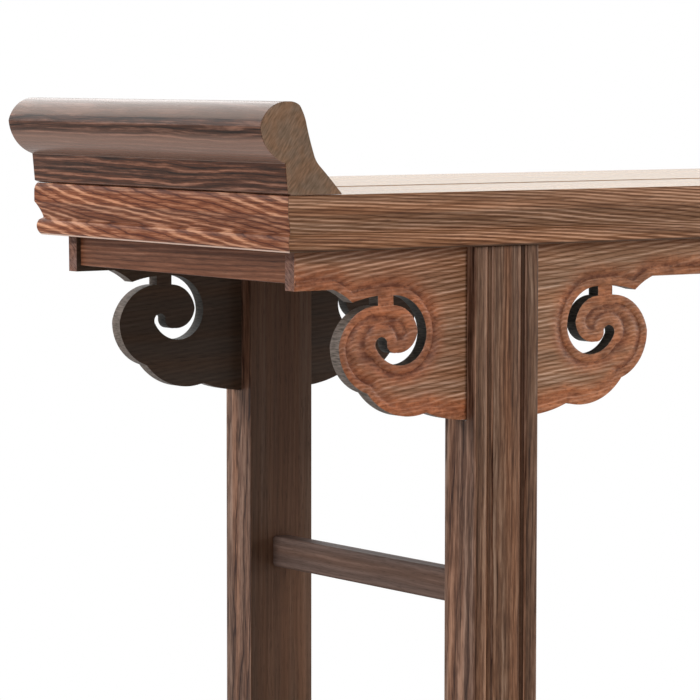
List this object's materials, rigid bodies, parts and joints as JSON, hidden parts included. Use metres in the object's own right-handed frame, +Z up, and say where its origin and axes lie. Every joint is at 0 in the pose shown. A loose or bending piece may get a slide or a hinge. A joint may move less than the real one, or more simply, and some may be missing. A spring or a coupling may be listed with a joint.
{
  "type": "tea table",
  "caption": "Low long tea table with recessed legs, openwork cloud-scroll aprons, a mitred framed top and everted end flanges, for setting out tea or display.",
  "frame": {"origin": "on the floor under the middle of the table", "axes": "+X along the length, +Y to the back, +Z up"},
  "size_m": [1.0412, 0.312, 0.5189],
  "materials": {
    "long_rail": "satin oiled wenge-like hardwood with fine stripes",
    "end_rail": "satin oiled wenge-like hardwood with fine stripes",
    "panel": "satin oiled wenge-like hardwood with fine stripes",
    "batten": "satin oiled wenge-like hardwood with fine stripes",
    "flange": "satin oiled wenge-like hardwood with fine stripes",
    "dowel": "satin oiled wenge-like hardwood with fine stripes",
    "long_apron": "satin oiled wenge-like hardwood with fine stripes",
    "end_apron": "satin oiled wenge-like hardwood with fine stripes",
    "leg": "satin oiled wenge-like hardwood with fine stripes",
    "stretcher": "satin oiled wenge-like hardwood with fine stripes"
  },
  "bodies": {
    "root": {"front_long_rail": "long_rail", "rear_long_rail": "long_rail", "left_end_rail": "end_rail", "right_end_rail": "end_rail", "front_panel_board": "panel", "rear_panel_board": "panel", "cross_batten_1": "batten", "cross_batten_2": "batten", "cross_batten_3": "batten", "left_flange": "flange", "right_flange": "flange", "left_flange_dowel_1": "dowel", "left_flange_dowel_2": "dowel", "left_flange_dowel_3": "dowel", "right_flange_dowel_1": "dowel", "right_flange_dowel_2": "dowel", "right_flange_dowel_3": "dowel", "front_apron": "long_apron", "rear_apron": "long_apron", "left_end_apron": "end_apron", "right_end_apron": "end_apron", "front_left_leg": "leg", "front_right_leg": "leg", "rear_left_leg": "leg", "rear_right_leg": "leg", "left_stretcher": "stretcher", "right_stretcher": "stretcher"}
  },
  "joints": []
}
